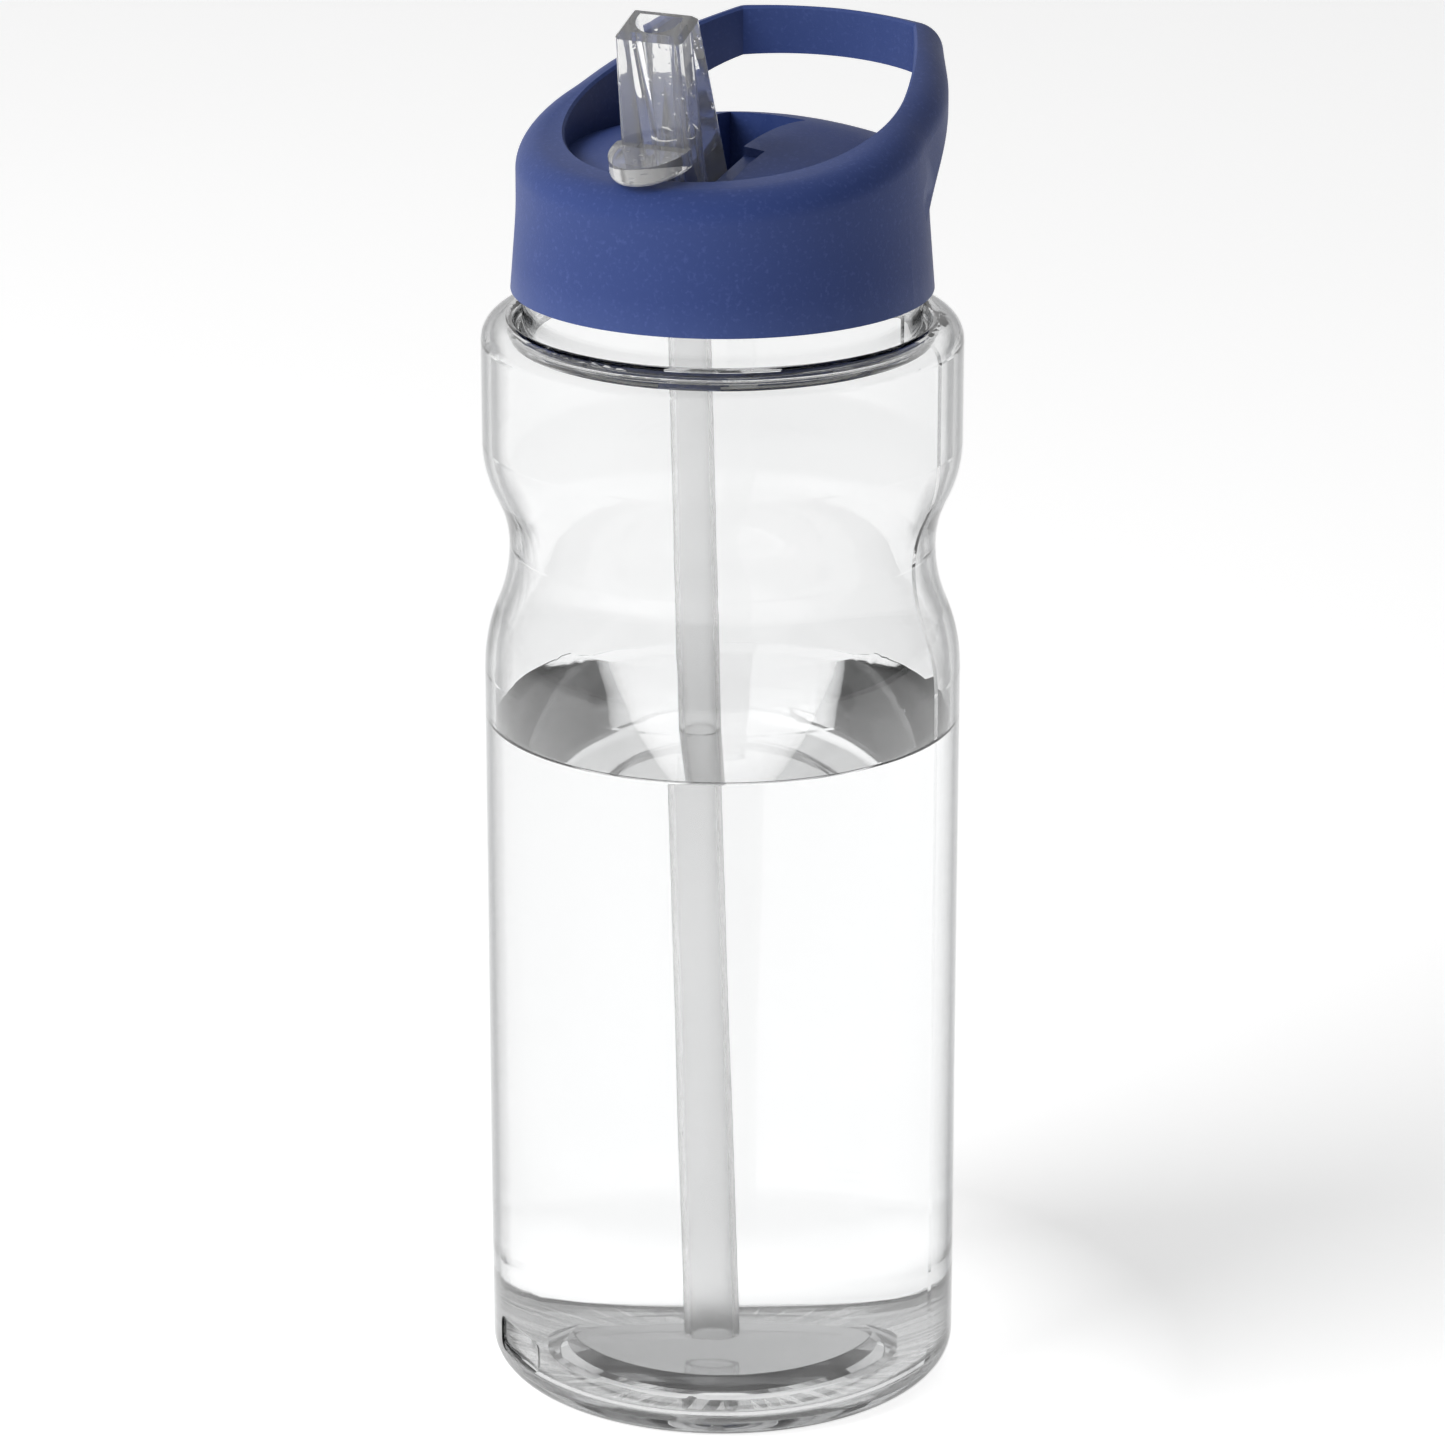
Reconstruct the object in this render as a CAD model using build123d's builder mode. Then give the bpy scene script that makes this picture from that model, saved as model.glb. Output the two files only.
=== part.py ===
"""Sports squeeze bottle: clear waisted bottle, screw lid with a carry handle, flip spout and straw.

Millimetres. +Z is up and the bottle stands on Z = 0, with its axis on the Z axis.
-Y is the drinking side, where the thumb tab points. +Y is the handle side.
The spout is modelled standing open, and the lid screwed fully home.
"""

import os
from math import atan2, cos, radians, sin

from build123d import *

os.makedirs("parts", exist_ok=True)

# ---------------------------------------------------------------- bottle
BODY_R = 36.65
WALL = 1.5
FOOT_R = 4.35
INNER_FOOT_R = 4.65
PUSH_UP_R = 20.0
PUSH_UP_FLAT_R = 17.0
PUSH_UP_H = 2.5
FLOOR_T = 3.0
LOWER_TOP = 115.0
WAIST_R = 32.65
WAIST_Z = 134.7
UPPER_BOTTOM = 151.0
SHOULDER_R = 3.9
SHOULDER_TOP = 170.7
LIP_MID = (31.75, 170.2)
LIP_INSIDE = (31.35, 169.2)
VALLEY_MID = (30.9, 168.5)
VALLEY_END_Z = 169.0
VALLEY_INSIDE = ((32.4, 168.8), (31.2, 166.8), (29.4, 166.8), (28.9, 168.2))
COLLAR_R = 30.4
COLLAR_TOP = 176.4
COLLAR_STEP_H = 0.8
FINISH_R = 27.9
COLLAR_BORE_R = 28.9
COLLAR_BORE_TOP = 175.0
NECK_BORE_R = 26.4
NECK_BORE_BOTTOM = 177.5
NECK_TOP = 184.0
NECK_LIP_FILLET = 0.5
LUG_ANGLE = -125.0
LUG_Z = 7.8
LUG_W = 13.0
LUG_H = 5.6
LUG_FILLET = 1.6
LUG_DEPTH = 1.0

# ---------------------------------------------------------------- screw thread
PITCH = 3.2
THREAD_TURNS = 1.5
NECK_THREAD_Z = 178.0
LID_THREAD_Z = 178.9
THREAD_H = 1.0
THREAD_ROOT_W = 1.5
THREAD_CREST_W = 0.7
THREAD_SINK = 0.25

# ---------------------------------------------------------------- lid skirt and domed deck
LID_BOTTOM = 174.9
SKIRT_BOTTOM_R = 32.06
SKIRT_TOP_Z = 187.0
SKIRT_BLEND_R = 60.0
SKIRT_TOP_R = 31.1
SKIRT_MOUTH_R = 30.75
SKIRT_MOUTH_TOP = 177.0
THREAD_BORE_R = 30.1
THREAD_BORE_TOP = 184.3
GASKET_SEAT_Z = 185.6
GASKET_GROOVE_R = 29.0
UNDERSIDE_R = 25.2
DECK_R = 75.0
DECK_TOP = 199.0
DECK_Y = 4.0
DECK_T = 1.8
DECK_EDGE_FILLET = 1.8

# ---------------------------------------------------------------- crown: rim and carry handle
CROWN_BASE = 184.0
CROWN_FRONT_ANGLE = -45.0
CROWN_SEAM_ANGLE = 12.0
ARM_OUT_MID = (28.9, 15.8)
ARM_OUT_END = (17.6, 40.2)
ARM_OUT_END_DIRECTION = (-0.44, 0.9)
BAR_OUT_MID = (9.0, 42.5)
BAR_OUT_Y = 43.4
BAR_CORNER_R = 4.8
RIM_TOP_POINTS = ((-33.0, 195.3), (-13.0, 197.8), (6.0, 202.3), (24.0, 207.0), (45.0, 210.9))
RIM_FRONT_SLOPE = 0.10
RIM_REAR_SLOPE = 0.10
ARM_UNDER_START = (9.0, 184.0)
ARM_UNDER_POINTS = ((18.5, 194.2), (35.0, 201.9), (45.0, 203.4))
ARM_UNDER_START_SLOPE = 1.6
ARM_UNDER_END_SLOPE = 0.1
RIM_IN_Y = 28.2
RIM_IN_X = 25.15
RIM_IN_CENTRE_Y = 4.6
RIM_IN_END_ANGLE = 17.0
ARM_IN_END = (14.6, 35.7)
BAR_IN_MID = (7.5, 38.0)
BAR_IN_Y = 38.8
CROWN_TOP_FILLET = 4.6
CROWN_UNDER_FILLET = 2.2
INNER_EDGE_CHAMFER = 0.4

# ---------------------------------------------------------------- spout and its hinge, as (y, z)
HINGE = (-14.0, 192.0)
DRUM_R = 5.6
DRUM_CLEAR = 0.3
SPOUT_HALF_W = 5.9
SPOUT_TIP_HALF_W = 5.5
TIP_FRONT = (-24.35, 217.5)
TIP_REAR = (-18.2, 220.4)
FRONT_KNEE = (-22.1, 201.0)
FRONT_FOOT = (-19.6, 195.6)
REAR_FOOT = (-9.6, 196.4)
DRUM_FRONT_ANGLE = 155.0
SPOUT_EDGE_FILLET = 1.0
TAB_HALF_W = 6.1
TAB_REACH = 9.0
TAB_ROOT = 2.0
TAB_T = 3.1
TAB_DROOP = 11.0
TAB_TOP_BEVEL = 0.8
TAB_UNDER_FILLET = 0.9
MOUTH_HALF_W = 3.5
MOUTH_FRONT = 2.4
MOUTH_REAR = 2.0
MOUTH_SHRINK = 0.62
BORE_FOOT = 8.0
PORT_R = 2.2
TRUNNION_R = 1.8
TRUNNION_CLEAR = 0.06
TRUNNION_TIP = 8.8
CHANNEL_HALF_W = 6.4
CHANNEL_END_Y = 15.2
CHANNEL_WALL = 1.6
LEDGE_HALF_W = 9.9
LEDGE_FRONT = (-18.2, 194.0)
LEDGE_REAR = (-5.6, 196.6)
PIVOT_BLOCK_HALF_W = 10.6
PIVOT_BLOCK_REAR_Y = -7.0

# ---------------------------------------------------------------- straw, seals and vent
STRAW_OD = 6.5
STRAW_ID = 4.9
STRAW_HEAD = (-11.6, 186.0)
STRAW_LEAN = 2.86
STRAW_SEAT_Z = 182.0
STRAW_END_Z = 8.0
SOCKET_OD = 9.4
SOCKET_CLEAR = 0.02
SOCKET_END_Z = 172.0
SEAL_OD = 8.0
SEAL_T = 1.44
SEAL_GAP = 0.06
GASKET_OUT_R = 28.6
GASKET_IN_R = 25.6
GASKET_FILLET = 0.35
VENT_Y = 7.5
VENT_HOLE_R = 1.0
VENT_BODY_R = 3.2
VENT_BODY_H = 1.6
VENT_CUP_R = 4.6
VENT_CUP_H = 2.2
VENT_LIP_H = 4.2
VENT_LIP_W = 4.4
VENT_LIP_ROOT = 3.2
VENT_LIP_TIP = 0.9
VENT_SLIT_W = 0.3

# ---------------------------------------------------------------- worked out from the above
ABOVE_ALL = 230.0
BEYOND_ALL = 50.0
SPARE = 1.0
HINGE_Y, HINGE_Z = HINGE
CHANNEL_FLOOR = HINGE_Z - DRUM_R - DRUM_CLEAR
CHANNEL_UNDERSIDE = CHANNEL_FLOOR - CHANNEL_WALL
SEAL_TOP = HINGE_Z - DRUM_R - SEAL_GAP
DECK_CENTRE = (0, DECK_Y, DECK_TOP - DECK_R)
POCKET_R = DRUM_R + DRUM_CLEAR
TIP_SLOPE = atan2(TIP_REAR[1] - TIP_FRONT[1], TIP_REAR[0] - TIP_FRONT[0])
TIP_CENTRE = (0, (TIP_FRONT[0] + TIP_REAR[0]) / 2, (TIP_FRONT[1] + TIP_REAR[1]) / 2)
BORE_LEAN = atan2(HINGE_Y - TIP_CENTRE[1], TIP_CENTRE[2] - HINGE_Z)
PORT_LEAN = atan2(STRAW_HEAD[0] - HINGE_Y, HINGE_Z - STRAW_HEAD[1])
REAR_FACE_ANGLE = atan2(TIP_REAR[1] - REAR_FOOT[1], TIP_REAR[0] - REAR_FOOT[0]) - radians(90)


def plane_along(origin, lean):
    """Plane on the Y-Z mid plane whose normal points down and leans towards +Y by this many radians."""
    return Plane(origin, x_dir=(1, 0, 0), z_dir=(0, sin(lean), -cos(lean)))


STRAW_AXIS = plane_along((0, *STRAW_HEAD), radians(STRAW_LEAN))
PORT_AXIS = plane_along((0, *HINGE), PORT_LEAN)
BORE_AXIS = Plane((0, *HINGE), x_dir=(1, 0, 0), z_dir=(0, -sin(BORE_LEAN), cos(BORE_LEAN)))
TIP_PLANE = Plane(TIP_CENTRE, x_dir=(1, 0, 0), z_dir=(0, -sin(TIP_SLOPE), cos(TIP_SLOPE)))
HINGE_PLANE = Plane((0, *HINGE), x_dir=(0, 1, 0), z_dir=(1, 0, 0))
TAB_PLANE = Plane(
    (0, *FRONT_KNEE),
    x_dir=(1, 0, 0),
    z_dir=(0, -sin(radians(TAB_DROOP)), cos(radians(TAB_DROOP))),
)


def straw_depth(z):
    """Distance along the leaning straw axis from its head down to height z."""
    return (STRAW_HEAD[1] - z) / cos(radians(STRAW_LEAN))


def on_drum(angle):
    """Point of the drum's rim at this angle from +Y, as (y, z)."""
    return (HINGE_Y + DRUM_R * cos(angle), HINGE_Z + DRUM_R * sin(angle))


def waist_arc_radius(height):
    """Radius of two equal tangent arcs that step between body and waist over this height."""
    half_height = height / 2
    half_step = (BODY_R - WAIST_R) / 2
    return (half_height**2 + half_step**2) / (2 * half_step)


def waist_wall(inset):
    """Side wall from the lower cylinder's top to the upper one's foot, moved inwards by the inset."""
    body = BODY_R - inset
    waist = WAIST_R - inset
    between = (body + waist) / 2
    lower_r = waist_arc_radius(WAIST_Z - LOWER_TOP)
    upper_r = waist_arc_radius(UPPER_BOTTOM - WAIST_Z)
    lower_mid = (between, (LOWER_TOP + WAIST_Z) / 2)
    upper_mid = (between, (UPPER_BOTTOM + WAIST_Z) / 2)
    RadiusArc((body, LOWER_TOP), lower_mid, -lower_r)
    RadiusArc(lower_mid, (waist, WAIST_Z), lower_r)
    RadiusArc((waist, WAIST_Z), upper_mid, upper_r)
    RadiusArc(upper_mid, (body, UPPER_BOTTOM), -upper_r)


def thread_ridge(radius, start_z, side):
    """One screw ridge on a wall of this radius; side is 1 on an outside wall and -1 in a bore."""
    with BuildPart() as ridge:
        with BuildLine() as path:
            Helix(PITCH, PITCH * THREAD_TURNS, radius, center=(0, 0, start_z))
        with BuildSketch(Plane((radius, 0, start_z), x_dir=(1, 0, 0), z_dir=(0, -1, 0))):
            with BuildLine():
                Polyline(
                    (-side * THREAD_SINK, -THREAD_ROOT_W / 2),
                    (side * THREAD_H, -THREAD_CREST_W / 2),
                    (side * THREAD_H, THREAD_CREST_W / 2),
                    (-side * THREAD_SINK, THREAD_ROOT_W / 2),
                    close=True,
                )
            make_face()
        sweep(path=path.wires()[0], is_frenet=True)
    return ridge.part


def mouth_outline(scale):
    """Mouthpiece bore outline: round at the front and flat at the rear."""
    half_w = MOUTH_HALF_W * scale
    front = -MOUTH_FRONT * scale
    rear = MOUTH_REAR * scale
    with BuildLine() as outline:
        Line((-half_w, rear), (half_w, rear))
        ThreePointArc((half_w, rear), (0, front), (-half_w, rear))
    return outline.edges()


# ================================================================ bottle body
neck_thread = thread_ridge(FINISH_R, NECK_THREAD_Z, 1)

with BuildPart() as bottle_body:
    shoulder_z = SHOULDER_TOP - SHOULDER_R
    shoulder_x = BODY_R - SHOULDER_R
    with BuildSketch(Plane.XZ):
        with BuildLine():
            Polyline((0, PUSH_UP_H), (PUSH_UP_FLAT_R, PUSH_UP_H), (PUSH_UP_R, 0), (BODY_R - FOOT_R, 0))
            RadiusArc((BODY_R - FOOT_R, 0), (BODY_R, FOOT_R), -FOOT_R)
            Line((BODY_R, FOOT_R), (BODY_R, LOWER_TOP))
            waist_wall(0)
            Line((BODY_R, UPPER_BOTTOM), (BODY_R, shoulder_z))
            RadiusArc((BODY_R, shoulder_z), (shoulder_x, SHOULDER_TOP), -SHOULDER_R)
            ThreePointArc((shoulder_x, SHOULDER_TOP), LIP_MID, LIP_INSIDE)
            ThreePointArc(LIP_INSIDE, VALLEY_MID, (COLLAR_R, VALLEY_END_Z))
            Polyline(
                (COLLAR_R, VALLEY_END_Z),
                (COLLAR_R, COLLAR_TOP - COLLAR_STEP_H),
                (COLLAR_R - COLLAR_STEP_H, COLLAR_TOP),
                (FINISH_R, COLLAR_TOP),
                (FINISH_R, NECK_TOP),
                (0, NECK_TOP),
                (0, PUSH_UP_H),
            )
        make_face()
    revolve(axis=Axis.Z)
    inner_r = BODY_R - WALL
    raised_floor = PUSH_UP_H + FLOOR_T
    with BuildSketch(Plane.XZ):
        with BuildLine():
            Polyline(
                (0, raised_floor),
                (PUSH_UP_FLAT_R, raised_floor),
                (PUSH_UP_R, FLOOR_T),
                (inner_r - INNER_FOOT_R, FLOOR_T),
            )
            RadiusArc((inner_r - INNER_FOOT_R, FLOOR_T), (inner_r, FLOOR_T + INNER_FOOT_R), -INNER_FOOT_R)
            Line((inner_r, FLOOR_T + INNER_FOOT_R), (inner_r, LOWER_TOP))
            waist_wall(WALL)
            Line((inner_r, UPPER_BOTTOM), (inner_r, shoulder_z))
            RadiusArc((inner_r, shoulder_z), (shoulder_x, SHOULDER_TOP - WALL), WALL - SHOULDER_R)
            Polyline(
                (shoulder_x, SHOULDER_TOP - WALL),
                *VALLEY_INSIDE,
                (COLLAR_BORE_R, COLLAR_BORE_TOP),
                (NECK_BORE_R, NECK_BORE_BOTTOM),
                (NECK_BORE_R, ABOVE_ALL),
                (0, ABOVE_ALL),
                (0, raised_floor),
            )
        make_face()
    revolve(axis=Axis.Z, mode=Mode.SUBTRACT)
    neck_lip = bottle_body.edges().filter_by(GeomType.CIRCLE).group_by(Axis.Z)[-1]
    fillet(neck_lip, NECK_LIP_FILLET)
    add(neck_thread)
    # Mould registration pocket low on the side wall.
    lug_angle = radians(LUG_ANGLE)
    lug_floor = BODY_R - LUG_DEPTH
    lug_plane = Plane(
        (lug_floor * cos(lug_angle), lug_floor * sin(lug_angle), LUG_Z),
        x_dir=(-sin(lug_angle), cos(lug_angle), 0),
        z_dir=(cos(lug_angle), sin(lug_angle), 0),
    )
    with BuildSketch(lug_plane):
        RectangleRounded(LUG_W, LUG_H, LUG_FILLET)
    extrude(amount=2 * LUG_DEPTH, mode=Mode.SUBTRACT)
bottle_body.part.label = "bottle_body"

# ================================================================ lid: crown with the carry handle
seam = radians(CROWN_SEAM_ANGLE)
seam_point = (SKIRT_TOP_R * cos(seam), SKIRT_TOP_R * sin(seam))
front = radians(CROWN_FRONT_ANGLE)
front_mid = (SKIRT_TOP_R * cos(front), SKIRT_TOP_R * sin(front))

with BuildPart() as crown:
    with BuildSketch(Plane.XY.offset(CROWN_BASE)) as crown_plan:
        with BuildLine():
            ThreePointArc((0, -SKIRT_TOP_R), front_mid, seam_point)
            Spline(
                seam_point,
                ARM_OUT_MID,
                ARM_OUT_END,
                tangents=[(-sin(seam), cos(seam)), ARM_OUT_END_DIRECTION],
            )
            ThreePointArc(ARM_OUT_END, BAR_OUT_MID, (0, BAR_OUT_Y))
            Line((0, BAR_OUT_Y), (0, -SKIRT_TOP_R))
        make_face()
        mirror(about=Plane.YZ)
        corners = crown_plan.vertices().group_by(Axis.Y)[-2]
        fillet(corners, BAR_CORNER_R)
    extrude(amount=ABOVE_ALL - CROWN_BASE)
    with BuildSketch(Plane.YZ.offset(-BEYOND_ALL)):
        with BuildLine():
            Spline(*RIM_TOP_POINTS, tangents=[(1, RIM_FRONT_SLOPE), (1, RIM_REAR_SLOPE)])
            Line(RIM_TOP_POINTS[-1], ARM_UNDER_POINTS[-1])
            Spline(
                ARM_UNDER_START,
                *ARM_UNDER_POINTS,
                tangents=[(1, ARM_UNDER_START_SLOPE), (1, ARM_UNDER_END_SLOPE)],
            )
            Polyline(ARM_UNDER_START, (RIM_TOP_POINTS[0][0], CROWN_BASE), RIM_TOP_POINTS[0])
        make_face()
    extrude(amount=2 * BEYOND_ALL, mode=Mode.INTERSECT)
    outer_rim = crown.faces().filter_by(GeomType.EXTRUSION).sort_by(Axis.Z)[-1].edges()
    fillet(outer_rim, CROWN_TOP_FILLET)
    curved = crown.faces().filter_by(GeomType.EXTRUSION)
    underside = curved.filter_by(lambda face: abs(face.center().X) < SPARE)
    under_edges = underside.sort_by(Axis.Z)[0].edges().filter_by(GeomType.LINE, reverse=True)
    fillet(under_edges, CROWN_UNDER_FILLET)
    # The hollow middle, with the rim's inner edge an ellipse that narrows to the bowed bar.
    end_angle = radians(RIM_IN_END_ANGLE)
    rim_end = (RIM_IN_X * cos(end_angle), RIM_IN_CENTRE_Y + RIM_IN_Y * sin(end_angle))
    rim_end_direction = (-RIM_IN_X * sin(end_angle), RIM_IN_Y * cos(end_angle))
    with BuildSketch(Plane.XY.offset(CROWN_BASE)):
        with BuildLine():
            EllipticalCenterArc(
                (0, RIM_IN_CENTRE_Y),
                RIM_IN_X,
                RIM_IN_Y,
                start_angle=-90,
                arc_size=90 + RIM_IN_END_ANGLE,
            )
            TangentArc(rim_end, ARM_IN_END, tangent=rim_end_direction)
            ThreePointArc(ARM_IN_END, BAR_IN_MID, (0, BAR_IN_Y))
            Line((0, BAR_IN_Y), (0, RIM_IN_CENTRE_Y - RIM_IN_Y))
        make_face()
        mirror(about=Plane.YZ)
    extrude(amount=ABOVE_ALL - CROWN_BASE, mode=Mode.SUBTRACT)
    inner_walls = crown.faces(Select.LAST)
    inner_rim = [wall.edges().sort_by(Axis.Z)[-1] for wall in inner_walls]
    chamfer(inner_rim, INNER_EDGE_CHAMFER)

# ================================================================ lid: hollow under the deck
with BuildPart() as lid_hollow:
    with BuildSketch(Plane.XZ):
        with BuildLine():
            Polyline(
                (0, LID_BOTTOM - SPARE),
                (SKIRT_MOUTH_R, LID_BOTTOM - SPARE),
                (SKIRT_MOUTH_R, SKIRT_MOUTH_TOP),
                (THREAD_BORE_R, SKIRT_MOUTH_TOP + SKIRT_MOUTH_R - THREAD_BORE_R),
                (THREAD_BORE_R, THREAD_BORE_TOP),
                (GASKET_GROOVE_R, THREAD_BORE_TOP),
                (GASKET_GROOVE_R, GASKET_SEAT_Z),
                (UNDERSIDE_R, GASKET_SEAT_Z),
                (UNDERSIDE_R, DECK_TOP),
                (0, DECK_TOP),
                close=True,
            )
        make_face()
    revolve(axis=Axis.Z)
    with Locations(DECK_CENTRE):
        Sphere(DECK_R - DECK_T, mode=Mode.INTERSECT)

# ================================================================ lid: trough, pivot block, straw socket
with BuildPart() as trough:
    pocket_front = HINGE_Y - POCKET_R - CHANNEL_WALL
    trough_rear = CHANNEL_END_Y + CHANNEL_WALL
    trough_half_w = CHANNEL_HALF_W + CHANNEL_WALL
    with BuildSketch(Plane.XY.offset(CHANNEL_UNDERSIDE)):
        with Locations((0, (pocket_front + trough_rear) / 2)):
            Rectangle(2 * trough_half_w, trough_rear - pocket_front)
        with Locations((0, (pocket_front + PIVOT_BLOCK_REAR_Y) / 2)):
            Rectangle(2 * PIVOT_BLOCK_HALF_W, PIVOT_BLOCK_REAR_Y - pocket_front)
    extrude(amount=DECK_TOP - CHANNEL_UNDERSIDE)
    with Locations(DECK_CENTRE):
        Sphere(DECK_R - DECK_T / 2, mode=Mode.INTERSECT)
    with BuildSketch(STRAW_AXIS):
        Circle(SOCKET_OD / 2)
    extrude(amount=straw_depth(SOCKET_END_Z))
    with BuildSketch(Plane.XY.offset(CHANNEL_UNDERSIDE)):
        with Locations((0, VENT_Y)):
            Circle(VENT_CUP_R)
    extrude(amount=-VENT_CUP_H)

lid_thread = thread_ridge(THREAD_BORE_R, LID_THREAD_Z, -1)

# ================================================================ lid shell
with BuildPart() as lid_shell:
    with BuildSketch(Plane.XZ) as skirt_profile:
        with BuildLine():
            Polyline(
                (0, LID_BOTTOM),
                (SKIRT_BOTTOM_R, LID_BOTTOM),
                (SKIRT_TOP_R, SKIRT_TOP_Z),
                (SKIRT_TOP_R, ABOVE_ALL),
                (0, ABOVE_ALL),
                close=True,
            )
        make_face()
        skirt_bend = skirt_profile.vertices().group_by(Axis.Y)[1]
        fillet(skirt_bend, SKIRT_BLEND_R)
    revolve(axis=Axis.Z)
    with Locations(DECK_CENTRE):
        Sphere(DECK_R, mode=Mode.INTERSECT)
    deck_edge = lid_shell.faces().filter_by(GeomType.SPHERE).edges()
    fillet(deck_edge, DECK_EDGE_FILLET)
    add(crown.part)
    add(lid_hollow.part, mode=Mode.SUBTRACT)
    add(trough.part)
    add(lid_thread)
    # Shallow ledge on each side of the hinge pocket.
    with BuildSketch(Plane.YZ.offset(-LEDGE_HALF_W)):
        with BuildLine():
            Polyline(
                LEDGE_FRONT,
                LEDGE_REAR,
                (LEDGE_REAR[0], ABOVE_ALL),
                (LEDGE_FRONT[0], ABOVE_ALL),
                close=True,
            )
        make_face()
    extrude(amount=2 * LEDGE_HALF_W, mode=Mode.SUBTRACT)
    # Hinge pocket and the channel that the folded spout lies in.
    with BuildSketch(Plane.YZ.offset(-CHANNEL_HALF_W)):
        with Locations(HINGE):
            Circle(POCKET_R)
        with BuildLine():
            Polyline(
                (HINGE_Y - POCKET_R, HINGE_Z),
                (HINGE_Y, HINGE_Z),
                (HINGE_Y, CHANNEL_FLOOR),
                (CHANNEL_END_Y, CHANNEL_FLOOR),
                (CHANNEL_END_Y, ABOVE_ALL),
                (HINGE_Y - POCKET_R, ABOVE_ALL),
                close=True,
            )
        make_face()
    extrude(amount=2 * CHANNEL_HALF_W, mode=Mode.SUBTRACT)
    # Blind sockets for the spout's two trunnions.
    with BuildSketch(HINGE_PLANE):
        Circle(TRUNNION_R + TRUNNION_CLEAR)
    extrude(amount=TRUNNION_TIP + DRUM_CLEAR, both=True, mode=Mode.SUBTRACT)
    # Seal seat, port, straw socket and vent hole.
    with BuildSketch(Plane.XY.offset(SEAL_TOP)):
        with Locations((0, STRAW_HEAD[0])):
            Circle(SEAL_OD / 2)
    extrude(amount=-SEAL_T, mode=Mode.SUBTRACT)
    with BuildSketch(STRAW_AXIS):
        Circle(PORT_R)
    extrude(amount=straw_depth(SOCKET_END_Z), mode=Mode.SUBTRACT)
    with BuildSketch(STRAW_AXIS.offset(straw_depth(STRAW_SEAT_Z))):
        Circle(STRAW_OD / 2 + SOCKET_CLEAR)
    extrude(amount=straw_depth(SOCKET_END_Z), mode=Mode.SUBTRACT)
    with BuildSketch(Plane.XY.offset(CHANNEL_UNDERSIDE)):
        with Locations((0, VENT_Y)):
            Circle(VENT_BODY_R)
    extrude(amount=-VENT_CUP_H, mode=Mode.SUBTRACT)
    with BuildSketch(Plane.XY.offset(CHANNEL_UNDERSIDE)):
        with Locations((0, VENT_Y)):
            Circle(VENT_HOLE_R)
    extrude(amount=2 * CHANNEL_WALL, mode=Mode.SUBTRACT)
lid_shell.part.label = "lid_shell"

# ================================================================ lid gasket
with BuildPart() as lid_gasket:
    with BuildSketch(Plane.XY.offset(NECK_TOP)):
        Circle(GASKET_OUT_R)
        Circle(GASKET_IN_R, mode=Mode.SUBTRACT)
    extrude(amount=GASKET_SEAT_Z - NECK_TOP)
    fillet(lid_gasket.edges(), GASKET_FILLET)
lid_gasket.part.label = "lid_gasket"

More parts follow.
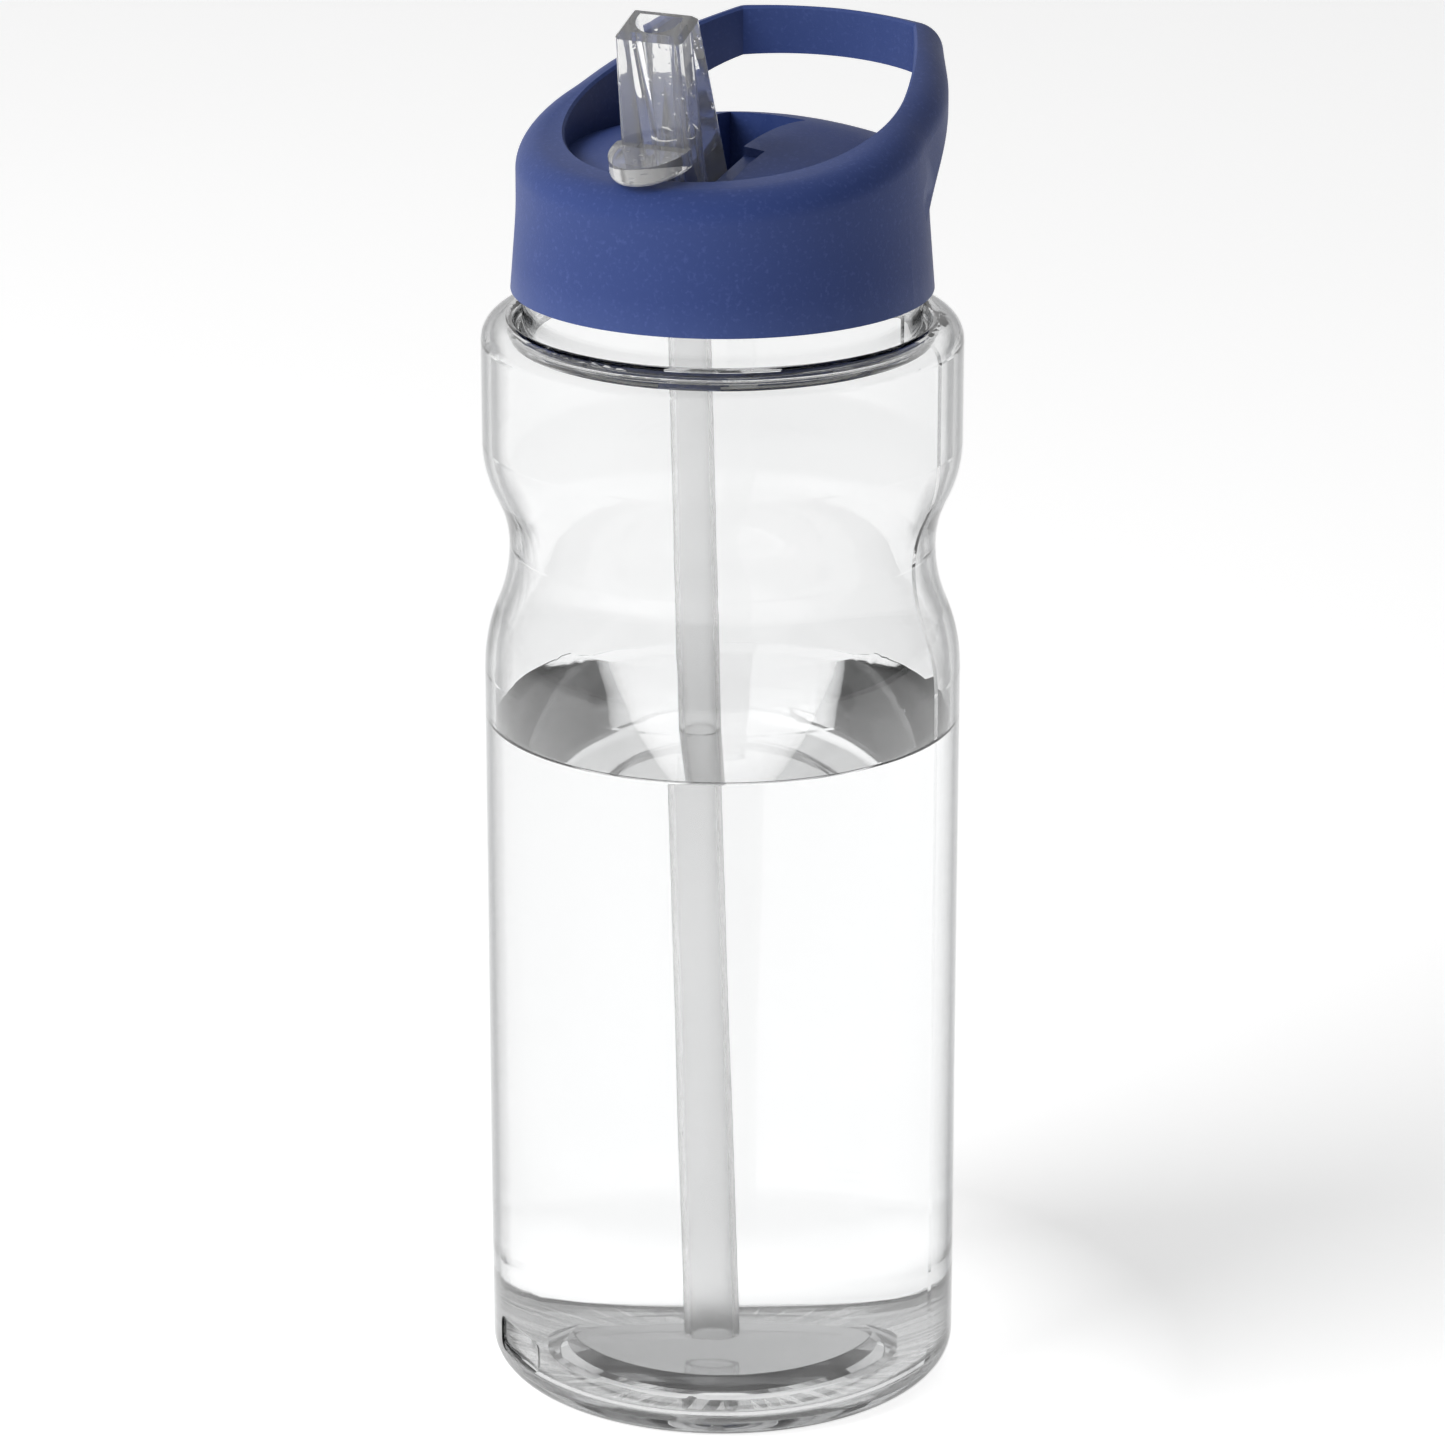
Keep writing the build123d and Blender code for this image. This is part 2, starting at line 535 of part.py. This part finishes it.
# ================================================================ flip spout
with BuildPart() as spout:
    drum_front = on_drum(radians(DRUM_FRONT_ANGLE))
    drum_rear = on_drum(REAR_FACE_ANGLE)
    with BuildSketch(Plane.YZ.offset(-SPOUT_HALF_W)):
        with BuildLine():
            Polyline(
                TIP_FRONT,
                FRONT_KNEE,
                FRONT_FOOT,
                drum_front,
                HINGE,
                drum_rear,
                TIP_REAR,
                close=True,
            )
        make_face()
        with Locations(HINGE):
            Circle(DRUM_R)
    extrude(amount=2 * SPOUT_HALF_W)
    # Both sides draw in slightly towards the tip.
    with BuildSketch(Plane.XZ):
        with BuildLine():
            Polyline(
                (-SPOUT_HALF_W, HINGE_Z - 2 * DRUM_R),
                (-SPOUT_HALF_W, REAR_FOOT[1]),
                (-SPOUT_TIP_HALF_W, TIP_REAR[1] + SPARE),
                (SPOUT_TIP_HALF_W, TIP_REAR[1] + SPARE),
                (SPOUT_HALF_W, REAR_FOOT[1]),
                (SPOUT_HALF_W, HINGE_Z - 2 * DRUM_R),
                close=True,
            )
        make_face()
    extrude(amount=BEYOND_ALL, mode=Mode.INTERSECT)
    upper_edges = spout.edges().filter_by(lambda edge: edge.center().Z > HINGE_Z + TAB_T)
    fillet(upper_edges.filter_by(lambda edge: edge.length > 2 * DRUM_R), SPOUT_EDGE_FILLET)
    # Half-oval thumb tab on the front face.
    with BuildSketch(TAB_PLANE):
        with BuildLine():
            EllipticalCenterArc((0, 0), TAB_HALF_W, TAB_REACH, start_angle=180, arc_size=180)
            Polyline(
                (TAB_HALF_W, 0),
                (TAB_HALF_W - TAB_ROOT, TAB_ROOT),
                (TAB_ROOT - TAB_HALF_W, TAB_ROOT),
                (-TAB_HALF_W, 0),
            )
        make_face()
    extrude(amount=-TAB_T)
    tab_curves = spout.edges(Select.LAST).filter_by(GeomType.ELLIPSE).sort_by(Axis.Z)
    fillet(tab_curves[0], TAB_UNDER_FILLET)
    ovals = spout.edges().filter_by(GeomType.ELLIPSE)
    tab_rim = ovals.filter_by(lambda edge: edge.center().Y < FRONT_KNEE[0]).sort_by(Axis.Z)[-1]
    chamfer(tab_rim, TAB_TOP_BEVEL)
    # Two stub trunnions that snap into the lid.
    with BuildSketch(HINGE_PLANE):
        Circle(TRUNNION_R)
    extrude(amount=TRUNNION_TIP, both=True)
    # Flat-backed mouth that narrows to a round passage, and the port that meets the straw.
    with BuildSketch(TIP_PLANE):
        make_face(mouth_outline(1))
    with BuildSketch(BORE_AXIS.offset(BORE_FOOT)):
        make_face(mouth_outline(MOUTH_SHRINK))
    loft(mode=Mode.SUBTRACT)
    with BuildSketch(BORE_AXIS):
        Circle(PORT_R)
    extrude(amount=BORE_FOOT + PORT_R, mode=Mode.SUBTRACT)
    with BuildSketch(PORT_AXIS):
        Circle(PORT_R)
    extrude(amount=2 * DRUM_R, mode=Mode.SUBTRACT)
    with Locations((0, *HINGE)):
        Sphere(PORT_R, mode=Mode.SUBTRACT)
spout.part.label = "spout"

# ================================================================ spout seal under the drum
with BuildPart() as spout_seal:
    with BuildSketch(Plane.XY.offset(SEAL_TOP)):
        with Locations((0, STRAW_HEAD[0])):
            Circle(SEAL_OD / 2)
    extrude(amount=-SEAL_T)
    with BuildSketch(STRAW_AXIS.offset(-SEAL_T)):
        Circle(PORT_R)
    extrude(amount=straw_depth(STRAW_SEAT_Z), mode=Mode.SUBTRACT)
spout_seal.part.label = "spout_seal"

# ================================================================ straw
with BuildPart() as straw:
    with BuildSketch(STRAW_AXIS.offset(straw_depth(STRAW_SEAT_Z))):
        Circle(STRAW_OD / 2)
        Circle(STRAW_ID / 2, mode=Mode.SUBTRACT)
    extrude(amount=straw_depth(STRAW_END_Z) - straw_depth(STRAW_SEAT_Z))
straw.part.label = "straw"

# ================================================================ vent valve under the channel floor
with BuildPart() as vent_valve:
    with BuildSketch(Plane.XY.offset(CHANNEL_UNDERSIDE)):
        with Locations((0, VENT_Y)):
            Circle(VENT_BODY_R)
    extrude(amount=-VENT_BODY_H)
    with BuildSketch(Plane.XY.offset(CHANNEL_UNDERSIDE - VENT_BODY_H)):
        with Locations((0, VENT_Y)):
            Rectangle(VENT_LIP_W, VENT_LIP_ROOT)
    with BuildSketch(Plane.XY.offset(CHANNEL_UNDERSIDE - VENT_BODY_H - VENT_LIP_H)):
        with Locations((0, VENT_Y)):
            Rectangle(VENT_LIP_W, VENT_LIP_TIP)
    loft()
    with BuildSketch(Plane.XY.offset(CHANNEL_UNDERSIDE)):
        with Locations((0, VENT_Y)):
            Circle(VENT_HOLE_R)
    extrude(amount=-VENT_BODY_H, mode=Mode.SUBTRACT)
    with BuildSketch(Plane.XY.offset(CHANNEL_UNDERSIDE - VENT_BODY_H)):
        with Locations((0, VENT_Y)):
            Rectangle(2 * VENT_HOLE_R, VENT_SLIT_W)
    extrude(amount=-VENT_LIP_H, mode=Mode.SUBTRACT)
vent_valve.part.label = "vent_valve"

PIECES = (bottle_body, lid_shell, lid_gasket, spout, spout_seal, straw, vent_valve)
for piece in PIECES:
    export_step(piece.part, f"parts/{piece.part.label}.step")
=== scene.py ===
"""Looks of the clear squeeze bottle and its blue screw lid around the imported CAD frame.

Metres. +Z is up, the bottle stands on Z = 0 and its thumb tab points along -Y.
"""

import math

import bmesh
import bpy
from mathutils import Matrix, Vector


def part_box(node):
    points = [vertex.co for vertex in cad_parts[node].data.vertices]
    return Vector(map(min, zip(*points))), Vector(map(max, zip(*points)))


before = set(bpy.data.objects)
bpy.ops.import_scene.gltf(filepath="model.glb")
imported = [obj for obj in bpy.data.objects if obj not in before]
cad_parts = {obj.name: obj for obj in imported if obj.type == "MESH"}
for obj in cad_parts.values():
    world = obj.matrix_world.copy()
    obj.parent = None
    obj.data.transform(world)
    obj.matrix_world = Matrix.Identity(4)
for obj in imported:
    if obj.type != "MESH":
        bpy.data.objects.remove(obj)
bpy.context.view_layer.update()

MM = 0.001

# Camera: on the drinking side, 27 degrees round towards +X and looking down.
CAMERA_AZIMUTH = 27.0
CAMERA_DOWN = 18.46
CAMERA_DISTANCE = 0.9233
CAMERA_TARGET_Z = 0.1052
CAMERA_LENS = 148.6
SENSOR_WIDTH = 36.0

# The bottle's inner wall and push-up floor, which the drink fills.
WALL = 1.5 * MM
FLOOR_Z = 3.0 * MM
FLOOR_CORNER_R = 4.65 * MM
FLOOR_CORNER_STEPS = 8
PUSH_UP_Z = 5.5 * MM
PUSH_UP_TOP_R = 17.0 * MM
PUSH_UP_FOOT_R = 20.0 * MM

# Drink: it reaches a little into the wall, so that no air shows between them.
WATER_LEVEL = 0.1065
WATER_SINK = 0.15 * MM
WATER_SEGMENTS = 192
MENISCUS_RISE = 1.2 * MM
MENISCUS_WIDTH = 3.0 * MM
MENISCUS_SHARES = (0.25, 0.5, 1.0)
SHARP_ANGLE = 30.0

# Floor: it gives some light of its own, and more under the bottle, fading between two radii.
FLOOR_SIZE = 8.0
FLOOR_GLOW = 0.34
UNDER_GLOW = 0.9
UNDER_GLOW_R = 0.025
FLOOR_GLOW_R = 0.075

# Key light: degrees round from the camera and up, then its distance, side and watts.
KEY_TURN = -60.0
KEY_UP = 33.0
KEY_DISTANCE = 1.3
KEY_SIDE = 0.8
KEY_POWER = 14.0

# Surroundings: brightest this many degrees round from the camera, and dimmest opposite.
# The ramp between them ends where the cosine of the angle from that direction is RAMP_END.
BRIGHT_TURN = -140.0
BRIGHT_STRENGTH = 0.85
DIM_STRENGTH = 0.12
RAMP_END = 0.9


# ---------------------------------------------------------------- node helpers
class Nodes:
    """Short calls for building one material's node tree."""

    def __init__(self, name):
        self.material = bpy.data.materials.new(name)
        self.material.use_nodes = True
        self.tree = self.material.node_tree
        self.tree.nodes.clear()
        self.output = self.tree.nodes.new("ShaderNodeOutputMaterial")
        self.place = self.tree.nodes.new("ShaderNodeTexCoord").outputs["Object"]

    def link(self, value, socket):
        """Plugs a socket in, or sets the plain value."""
        if isinstance(value, bpy.types.NodeSocket):
            self.tree.links.new(value, socket)
        else:
            socket.default_value = value

    def noise(self, scale, detail=2.0, roughness=0.5, stretch=None):
        """Noise over the object, from 0 to 1, with this many features in a metre."""
        node = self.tree.nodes.new("ShaderNodeTexNoise")
        self.link(self.stretched(stretch), node.inputs["Vector"])
        node.inputs["Scale"].default_value = scale
        node.inputs["Detail"].default_value = detail
        node.inputs["Roughness"].default_value = roughness
        return node.outputs["Fac"]

    def cells(self, scale):
        """Distance to the nearest of scattered points."""
        node = self.tree.nodes.new("ShaderNodeTexVoronoi")
        self.link(self.place, node.inputs["Vector"])
        node.inputs["Scale"].default_value = scale
        return node.outputs["Distance"]

    def stretched(self, factors):
        """Object coordinates, scaled along each axis."""
        if factors is None:
            return self.place
        node = self.tree.nodes.new("ShaderNodeMapping")
        self.link(self.place, node.inputs["Vector"])
        node.inputs["Scale"].default_value = factors
        return node.outputs["Vector"]

    def spread(self, value, low, high, to_low=0.0, to_high=1.0):
        """Value mapped from one range to another, kept inside it."""
        node = self.tree.nodes.new("ShaderNodeMapRange")
        self.link(value, node.inputs["Value"])
        node.inputs["From Min"].default_value = low
        node.inputs["From Max"].default_value = high
        node.inputs["To Min"].default_value = to_low
        node.inputs["To Max"].default_value = to_high
        return node.outputs["Result"]

    def maths(self, operation, first, second):
        """Two values put through one of the Math node's operations."""
        node = self.tree.nodes.new("ShaderNodeMath")
        node.operation = operation
        self.link(first, node.inputs[0])
        self.link(second, node.inputs[1])
        return node.outputs["Value"]

    def blend(self, factor, first, second):
        """Mix of two colours."""
        node = self.tree.nodes.new("ShaderNodeMix")
        node.data_type = "RGBA"
        self.link(factor, node.inputs["Factor"])
        self.link(first, node.inputs["A"])
        self.link(second, node.inputs["B"])
        return node.outputs["Result"]

    def bump(self, height, distance, strength, normal=None):
        """Normal of a surface raised by this height, on top of another normal if one is given."""
        node = self.tree.nodes.new("ShaderNodeBump")
        self.link(height, node.inputs["Height"])
        node.inputs["Distance"].default_value = distance
        node.inputs["Strength"].default_value = strength
        if normal is not None:
            self.link(normal, node.inputs["Normal"])
        return node.outputs["Normal"]

    def edges(self):
        """1 along raised edges, where the lid is painted paler as a highlight and made smoother, and
        0 elsewhere.
        """
        geometry = self.tree.nodes.new("ShaderNodeNewGeometry")
        return self.spread(geometry.outputs["Pointiness"], low=0.52, high=0.6)

    def grazing(self, low, high):
        """0 where clear plastic faces the eye, 1 where its wall is seen edge on; it masks painted
        shade.
        """
        node = self.tree.nodes.new("ShaderNodeLayerWeight")
        node.inputs["Blend"].default_value = 0.5
        return self.spread(node.outputs["Facing"], low, high)

    def distance(self):
        """Distance from the object's origin, in metres."""
        node = self.tree.nodes.new("ShaderNodeVectorMath")
        node.operation = "LENGTH"
        self.link(self.place, node.inputs[0])
        return node.outputs["Value"]

    def surface(self, **values):
        """The Principled shader, with its sockets set by name."""
        node = self.tree.nodes.new("ShaderNodeBsdfPrincipled")
        for name, value in values.items():
            self.link(value, node.inputs[name.replace("_", " ")])
        self.link(node.outputs["BSDF"], self.output.inputs["Surface"])
        return self.material

    def absorb(self, colour, density):
        """Tint that grows with the depth of material the light passes through."""
        node = self.tree.nodes.new("ShaderNodeVolumeAbsorption")
        node.inputs["Color"].default_value = colour
        node.inputs["Density"].default_value = density
        self.link(node.outputs["Volume"], self.output.inputs["Volume"])


# ---------------------------------------------------------------- materials
def lid_plastic():
    """Matte navy plastic with a fine moulded grain, smoother along its edges and painted paler there
    as a highlight.
    """
    dark_navy = (0.025, 0.047, 0.165, 1)
    light_navy = (0.034, 0.058, 0.195, 1)
    speck_blue = (0.060, 0.090, 0.26, 1)
    highlight_blue = (0.08, 0.12, 0.30, 1)
    m = Nodes("lid_plastic")
    grain = m.noise(scale=5200, detail=3.0)
    patches = m.noise(scale=45, detail=3.0)
    specks = m.noise(scale=1500)
    # Raised edges: a painted highlight in the colour, and a slightly lower roughness.
    edge_highlight = m.edges()
    colour = m.blend(patches, dark_navy, light_navy)
    colour = m.blend(m.spread(specks, low=0.55, high=0.75, to_high=0.5), colour, speck_blue)
    colour = m.blend(m.maths("MULTIPLY", edge_highlight, 0.25), colour, highlight_blue)
    rough = m.spread(patches, low=0.3, high=0.7, to_low=0.46, to_high=0.56)
    rough = m.maths("SUBTRACT", rough, m.maths("MULTIPLY", edge_highlight, 0.08))
    normal = m.bump(grain, distance=0.06 * MM, strength=0.55)
    return m.surface(
        Base_Color=colour, Roughness=rough, Normal=normal, IOR=1.49, Specular_IOR_Level=0.25
    )


def bottle_plastic():
    """Clear blow-moulded plastic: slightly wavy, lightly scuffed, with painted shade darkening it
    where its wall is seen edge on.
    """
    clear = (0.985, 0.987, 0.987, 1)
    hazy = (0.970, 0.973, 0.974, 1)
    painted_edge_shade = (0.09, 0.095, 0.10, 1)
    deep_grey = (0.72, 0.725, 0.73, 1)
    m = Nodes("bottle_plastic")
    waves = m.noise(scale=38, stretch=(1, 1, 0.35))
    scuffs = m.noise(scale=900, detail=4.0, roughness=0.65, stretch=(1, 1, 0.25))
    haze = m.noise(scale=30, detail=3.0)
    rough = m.spread(scuffs, low=0.6, high=0.85, to_low=0.008, to_high=0.10)
    rough = m.maths("ADD", rough, m.spread(haze, low=0.45, high=0.75, to_high=0.02))
    colour = m.blend(haze, clear, hazy)
    # Painted shade: the wall's colour goes dark grey where it is seen edge on.
    colour = m.blend(m.grazing(low=0.62, high=0.80), colour, painted_edge_shade)
    normal = m.bump(waves, distance=1.2 * MM, strength=0.12)
    m.absorb(deep_grey, density=60)
    return m.surface(
        Base_Color=colour, Roughness=rough, Normal=normal, IOR=1.50, Transmission_Weight=1.0
    )


def spout_plastic():
    """Thick clear polished plastic with faint flow lines and tiny trapped bubbles."""
    clear = (0.995, 0.995, 0.99, 1)
    flow_grey = (0.98, 0.982, 0.985, 1)
    m = Nodes("spout_plastic")
    flow = m.noise(scale=130, stretch=(1, 1, 0.2))
    bubbles = m.cells(scale=420)
    spots = m.spread(bubbles, low=0.05, high=0.16, to_low=1.0, to_high=0.0)
    rough = m.spread(flow, low=0.3, high=0.8, to_low=0.01, to_high=0.03)
    rough = m.maths("ADD", rough, m.maths("MULTIPLY", spots, 0.25))
    colour = m.blend(flow, clear, flow_grey)
    normal = m.bump(flow, distance=0.6 * MM, strength=0.18)
    normal = m.bump(spots, distance=0.2 * MM, strength=0.4, normal=normal)
    return m.surface(
        Base_Color=colour, Roughness=rough, Normal=normal, IOR=1.42, Transmission_Weight=0.90
    )


def straw_plastic():
    """Frosted translucent tube with faint lengthwise draw lines."""
    clear = (0.998, 0.998, 0.998, 1)
    cloudy = (0.985, 0.987, 0.987, 1)
    m = Nodes("straw_plastic")
    lines = m.noise(scale=900, stretch=(1, 1, 0.02))
    cloud = m.noise(scale=60, detail=3.0, stretch=(1, 1, 0.3))
    colour = m.blend(cloud, clear, cloudy)
    rough = m.spread(cloud, low=0.3, high=0.7, to_low=0.18, to_high=0.28)
    normal = m.bump(lines, distance=0.03 * MM, strength=0.2)
    return m.surface(
        Base_Color=colour, Roughness=rough, Normal=normal, IOR=1.35, Transmission_Weight=0.93
    )


def silicone():
    """Milky silicone rubber, slightly dusty."""
    milky = (0.80, 0.80, 0.79, 1)
    dusty = (0.68, 0.68, 0.67, 1)
    m = Nodes("silicone")
    dust = m.noise(scale=350, detail=4.0)
    grain = m.noise(scale=3500)
    return m.surface(
        Base_Color=m.blend(dust, milky, dusty),
        Roughness=m.spread(dust, low=0.3, high=0.7, to_low=0.42, to_high=0.6),
        Normal=m.bump(grain, distance=0.04 * MM, strength=0.5),
        Subsurface_Weight=0.3,
        Subsurface_Radius=(2 * MM, 2 * MM, 2 * MM),
    )


def drink():
    """Still water with a faint swell."""
    m = Nodes("drink")
    ripples = m.noise(scale=25, detail=1.0)
    return m.surface(
        Base_Color=(1.0, 1.0, 1.0, 1),
        Roughness=0.0,
        Normal=m.bump(ripples, distance=0.6 * MM, strength=0.25),
        IOR=1.333,
        Transmission_Weight=1.0,
    )


def studio_floor():
    """Plain pale floor with a barely visible texture, glowing with painted light, most under the
    bottle where it fills in the bottle's shadow.
    """
    m = Nodes("studio_floor")
    cloud = m.noise(scale=3, detail=3.0)
    grain = m.noise(scale=400)
    return m.surface(
        Base_Color=m.blend(cloud, (0.90, 0.90, 0.90, 1), (0.93, 0.93, 0.93, 1)),
        Roughness=m.spread(grain, low=0.3, high=0.7, to_low=0.55, to_high=0.65),
        Normal=m.bump(grain, distance=0.1 * MM, strength=0.1),
        # Painted light: the floor glows, and glows more under the bottle to fill in its shadow.
        Emission_Color=(1.0, 1.0, 1.0, 1),
        Emission_Strength=m.spread(
            m.distance(), UNDER_GLOW_R, FLOOR_GLOW_R, to_low=UNDER_GLOW, to_high=FLOOR_GLOW
        ),
    )


def dress(node, material):
    """Puts a material on every slot of a CAD node."""
    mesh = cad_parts[node].data
    mesh.materials.clear()
    mesh.materials.append(material)


rubber = silicone()
dress("lid_shell", lid_plastic())
dress("bottle_body", bottle_plastic())
dress("spout", spout_plastic())
dress("straw", straw_plastic())
dress("lid_gasket", rubber)
dress("spout_seal", rubber)
dress("vent_valve", rubber)


# ---------------------------------------------------------------- drink
def inner_wall():
    """The bottle's inner wall below the drink's level, as (radius, height) from the axis up."""
    low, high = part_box("bottle_body")
    inner = (high.x - low.x) / 2 - WALL + WATER_SINK
    floor_z = FLOOR_Z - WATER_SINK
    push_up_z = PUSH_UP_Z - WATER_SINK
    points = [(0.0, push_up_z), (PUSH_UP_TOP_R, push_up_z), (PUSH_UP_FOOT_R, floor_z)]
    for i in range(FLOOR_CORNER_STEPS + 1):
        angle = math.radians(90) * i / FLOOR_CORNER_STEPS
        radius = inner - FLOOR_CORNER_R + FLOOR_CORNER_R * math.sin(angle)
        points.append((radius, floor_z + FLOOR_CORNER_R - FLOOR_CORNER_R * math.cos(angle)))
    points.append((inner, WATER_LEVEL))
    return points


def water_body():
    """A lathe of the inner wall, closed by a flat surface that rises where it wets the wall."""
    profile = inner_wall()
    edge_r, edge_z = profile[-1]
    profile[-1] = (edge_r, edge_z + MENISCUS_RISE)
    for share in MENISCUS_SHARES:
        rise = MENISCUS_RISE * (1 - share) ** 2
        profile.append((edge_r - MENISCUS_WIDTH * share, edge_z + rise))
    profile.append((0.0, edge_z))
    mesh = bmesh.new()
    # One vertex stands for a whole ring where the profile meets the axis.
    rings = []
    for radius, z in profile:
        ring = []
        for i in range(WATER_SEGMENTS if radius else 1):
            angle = 2 * math.pi * i / WATER_SEGMENTS
            ring.append(mesh.verts.new((radius * math.cos(angle), radius * math.sin(angle), z)))
        rings.append(ring)
    for below, above in zip(rings, rings[1:]):
        for i in range(WATER_SEGMENTS):
            j = i + 1
            corners = [
                below[i % len(below)],
                below[j % len(below)],
                above[j % len(above)],
                above[i % len(above)],
            ]
            mesh.faces.new(list(dict.fromkeys(corners)))
    bmesh.ops.recalc_face_normals(mesh, faces=mesh.faces)
    data = bpy.data.meshes.new("drink")
    mesh.to_mesh(data)
    mesh.free()
    data.polygons.foreach_set("use_smooth", [True] * len(data.polygons))
    data.set_sharp_from_angle(angle=math.radians(SHARP_ANGLE))
    data.materials.append(drink())
    water = bpy.data.objects.new("drink", data)
    bpy.context.scene.collection.objects.link(water)


water_body()


# ---------------------------------------------------------------- stage, light and camera
def floor():
    """A wide plane under the bottle."""
    bpy.ops.mesh.primitive_plane_add(size=FLOOR_SIZE)
    plane = bpy.context.object
    plane.name = "studio_floor"
    plane.data.materials.append(studio_floor())


def area_light(name, azimuth, elevation, distance, size, power):
    """A square soft light on the bottle's middle, which no surface reflects or lets through."""
    data = bpy.data.lights.new(name, "AREA")
    data.size = size
    data.energy = power
    light = bpy.data.objects.new(name, data)
    bpy.context.scene.collection.objects.link(light)
    target = Vector((0, 0, CAMERA_TARGET_Z))
    turn = math.radians(azimuth)
    up = math.radians(elevation)
    away = Vector((math.sin(turn) * math.cos(up), -math.cos(turn) * math.cos(up), math.sin(up)))
    light.location = target + away * distance
    light.rotation_euler = (-away).to_track_quat("-Z", "Y").to_euler()
    light.visible_glossy = False
    light.visible_transmission = False


def studio_world(azimuth, dim, bright):
    """White surroundings, brightest towards one side and dimmest on the opposite one."""
    world = bpy.data.worlds.new("studio")
    bpy.context.scene.world = world
    world.use_nodes = True
    tree = world.node_tree
    background = tree.nodes["Background"]
    background.inputs["Color"].default_value = (1.0, 1.0, 1.0, 1)
    along = tree.nodes.new("ShaderNodeVectorMath")
    along.operation = "DOT_PRODUCT"
    turn = math.radians(azimuth)
    along.inputs[1].default_value = (math.sin(turn), -math.cos(turn), 0.0)
    tree.links.new(tree.nodes.new("ShaderNodeTexCoord").outputs["Generated"], along.inputs[0])
    ramp = tree.nodes.new("ShaderNodeMapRange")
    tree.links.new(along.outputs["Value"], ramp.inputs["Value"])
    ramp.inputs["From Min"].default_value = -RAMP_END
    ramp.inputs["From Max"].default_value = RAMP_END
    ramp.inputs["To Min"].default_value = dim
    ramp.inputs["To Max"].default_value = bright
    tree.links.new(ramp.outputs["Result"], background.inputs["Strength"])


def camera():
    """The camera, aimed at the bottle's axis."""
    data = bpy.data.cameras.new("camera")
    data.lens = CAMERA_LENS
    data.sensor_width = SENSOR_WIDTH
    cam = bpy.data.objects.new("camera", data)
    bpy.context.scene.collection.objects.link(cam)
    turn = math.radians(CAMERA_AZIMUTH)
    down = math.radians(CAMERA_DOWN)
    back = Vector((math.sin(turn) * math.cos(down), -math.cos(turn) * math.cos(down), math.sin(down)))
    cam.location = Vector((0, 0, CAMERA_TARGET_Z)) + back * CAMERA_DISTANCE
    cam.rotation_euler = (math.radians(90) - down, 0, turn)
    bpy.context.scene.camera = cam


floor()
studio_world(CAMERA_AZIMUTH + BRIGHT_TURN, DIM_STRENGTH, BRIGHT_STRENGTH)
area_light("key", CAMERA_AZIMUTH + KEY_TURN, KEY_UP, KEY_DISTANCE, KEY_SIDE, KEY_POWER)
camera()
bpy.context.scene.view_settings.view_transform = "Standard"
